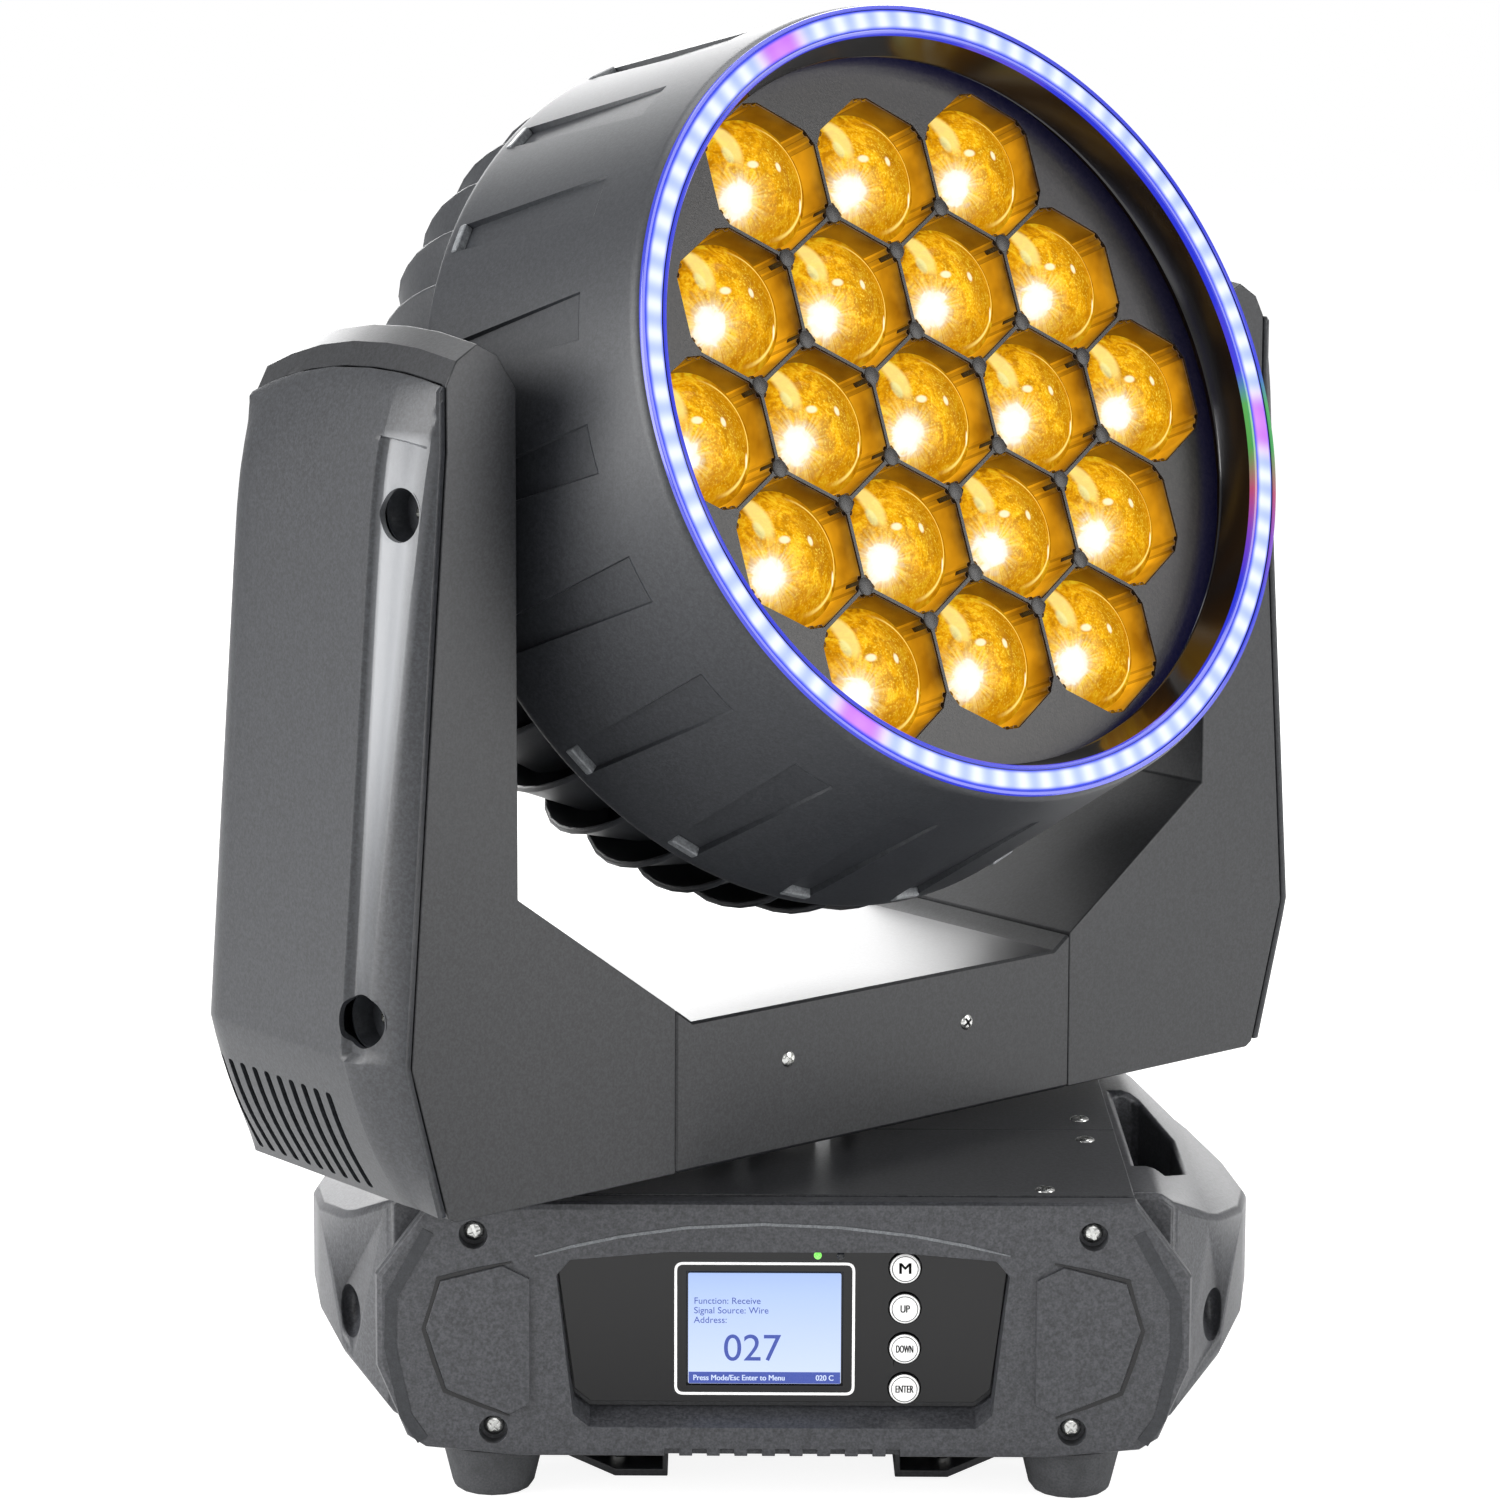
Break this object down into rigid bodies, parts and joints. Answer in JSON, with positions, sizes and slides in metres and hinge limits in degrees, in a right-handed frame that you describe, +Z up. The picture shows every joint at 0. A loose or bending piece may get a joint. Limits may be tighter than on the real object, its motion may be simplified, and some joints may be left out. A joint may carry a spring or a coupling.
{
  "type": "moving head wash light",
  "caption": "Stage wash light: a round honeycomb lens head with a lit ring tilts in a U-shaped yoke that pans on a squat base with a display panel, grip handles and rubber feet.",
  "frame": {"origin": "centre of the flat centre pad on the base's underside, on the pan axis", "axes": "+Z up along the pan axis, -Y out of the control panel, +X to the right seen from the front; the yoke is stored panned 39.8 degrees about +Z and the beam 21 degrees above level"},
  "size_m": [0.4215, 0.378, 0.5549],
  "materials": {
    "powder_coat": "fine-textured black powder coat",
    "abs": "grained charcoal moulded plastic",
    "gloss": "polished black plastic",
    "screen": "lit liquid crystal panel behind a clear window",
    "white": "printed white membrane over black",
    "rubber": "moulded black rubber",
    "steel": "zinc-plated steel",
    "motor": "black laminated motor body",
    "diffuser": "milky diffuser lit from behind",
    "amber": "clear acrylic lens lit amber from behind",
    "aluminium": "die-cast aluminium heat sink"
  },
  "bodies": {
    "base": {"base_tray": "powder_coat", "front_top_plate": "powder_coat", "rear_top_plate": "powder_coat", "front_panel": "abs", "rear_panel": "abs", "left_handle": "abs", "right_handle": "abs", "display_insert": "gloss", "lcd_screen": "screen", "front_left_foot": "rubber", "front_right_foot": "rubber", "rear_left_foot": "rubber", "rear_right_foot": "rubber", "left_omega_bracket": "powder_coat", "right_omega_bracket": "powder_coat", "pan_motor": "motor", "pan_belt": "rubber"},
    "menu_key": {"menu_button": "white"},
    "up_key": {"up_button": "white"},
    "down_key": {"down_button": "white"},
    "enter_key": {"enter_button": "white"},
    "front_left_lock": {"front_left_stud": "steel"},
    "front_right_lock": {"front_right_stud": "steel"},
    "rear_left_lock": {"rear_left_stud": "steel"},
    "rear_right_lock": {"rear_right_stud": "steel"},
    "pan_pinion": {"pan_drive_pulley": "steel"},
    "yoke": {"pan_spindle": "steel", "yoke_crossbar": "powder_coat", "left_arm_frame": "powder_coat", "right_arm_frame": "powder_coat", "left_arm_cover": "abs", "right_arm_cover": "abs", "tilt_motor": "motor", "tilt_belt": "rubber"},
    "tilt_pinion": {"tilt_drive_pulley": "steel"},
    "head": {"front_barrel": "abs", "rear_cover": "abs", "ring_diffuser": "diffuser", "inner_shroud": "gloss", "head_frame": "aluminium"},
    "lens_carriage": {"lens_plate": "abs", "lens_01": "amber", "lens_02": "amber", "lens_03": "amber", "lens_04": "amber", "lens_05": "amber", "lens_06": "amber", "lens_07": "amber", "lens_08": "amber", "lens_09": "amber", "lens_10": "amber", "lens_11": "amber", "lens_12": "amber", "lens_13": "amber", "lens_14": "amber", "lens_15": "amber", "lens_16": "amber", "lens_17": "amber", "lens_18": "amber", "lens_19": "amber"}
  },
  "joints": [
    {"name": "pan", "type": "hinge", "parent": "base", "child": "yoke", "pos_m": [0, 0, 0.1], "axis": [0, 0, 1], "range_deg": [-309.8, 230.2]},
    {"name": "tilt", "type": "hinge", "parent": "yoke", "child": "head", "pos_m": [0, 0, 0.3526], "axis": [0.7683, 0.6401, 0], "range_deg": [-204, 66]},
    {"name": "zoom", "type": "slide", "parent": "head", "child": "lens_carriage", "axis": [0.5976, -0.7173, 0.3584], "range_m": [-0.022, 0.002]},
    {"name": "pan_motor_spin", "type": "hinge", "parent": "base", "child": "pan_pinion", "pos_m": [-0.076, 0, 0.066], "axis": [0, 0, 1], "range_deg": [-1640, 1220]},
    {"name": "tilt_motor_spin", "type": "hinge", "parent": "yoke", "child": "tilt_pinion", "pos_m": [0, 0, 0.2486], "axis": [0.7683, 0.6401, 0], "range_deg": [-880, 290]},
    {"name": "menu_press", "type": "slide", "parent": "base", "child": "menu_key", "axis": [0, 1, 0], "range_m": [0, 0.001], "stiffness_N_per_m": 800},
    {"name": "up_press", "type": "slide", "parent": "base", "child": "up_key", "axis": [0, 1, 0], "range_m": [0, 0.001], "stiffness_N_per_m": 800},
    {"name": "down_press", "type": "slide", "parent": "base", "child": "down_key", "axis": [0, 1, 0], "range_m": [0, 0.001], "stiffness_N_per_m": 800},
    {"name": "enter_press", "type": "slide", "parent": "base", "child": "enter_key", "axis": [0, 1, 0], "range_m": [0, 0.001], "stiffness_N_per_m": 800},
    {"name": "front_left_turn", "type": "hinge", "parent": "base", "child": "front_left_lock", "pos_m": [-0.062, -0.07, -0.007], "axis": [0, 0, 1], "range_deg": [0, 90]},
    {"name": "front_right_turn", "type": "hinge", "parent": "base", "child": "front_right_lock", "pos_m": [0.062, -0.07, -0.007], "axis": [0, 0, 1], "range_deg": [0, 90]},
    {"name": "rear_left_turn", "type": "hinge", "parent": "base", "child": "rear_left_lock", "pos_m": [-0.062, 0.07, -0.007], "axis": [0, 0, 1], "range_deg": [0, 90]},
    {"name": "rear_right_turn", "type": "hinge", "parent": "base", "child": "rear_right_lock", "pos_m": [0.062, 0.07, -0.007], "axis": [0, 0, 1], "range_deg": [0, 90]}
  ],
  "couplings": [
    {"joint": "pan_motor_spin", "follows": "pan", "ratio": 5.25},
    {"joint": "tilt_motor_spin", "follows": "tilt", "ratio": 4.25}
  ]
}
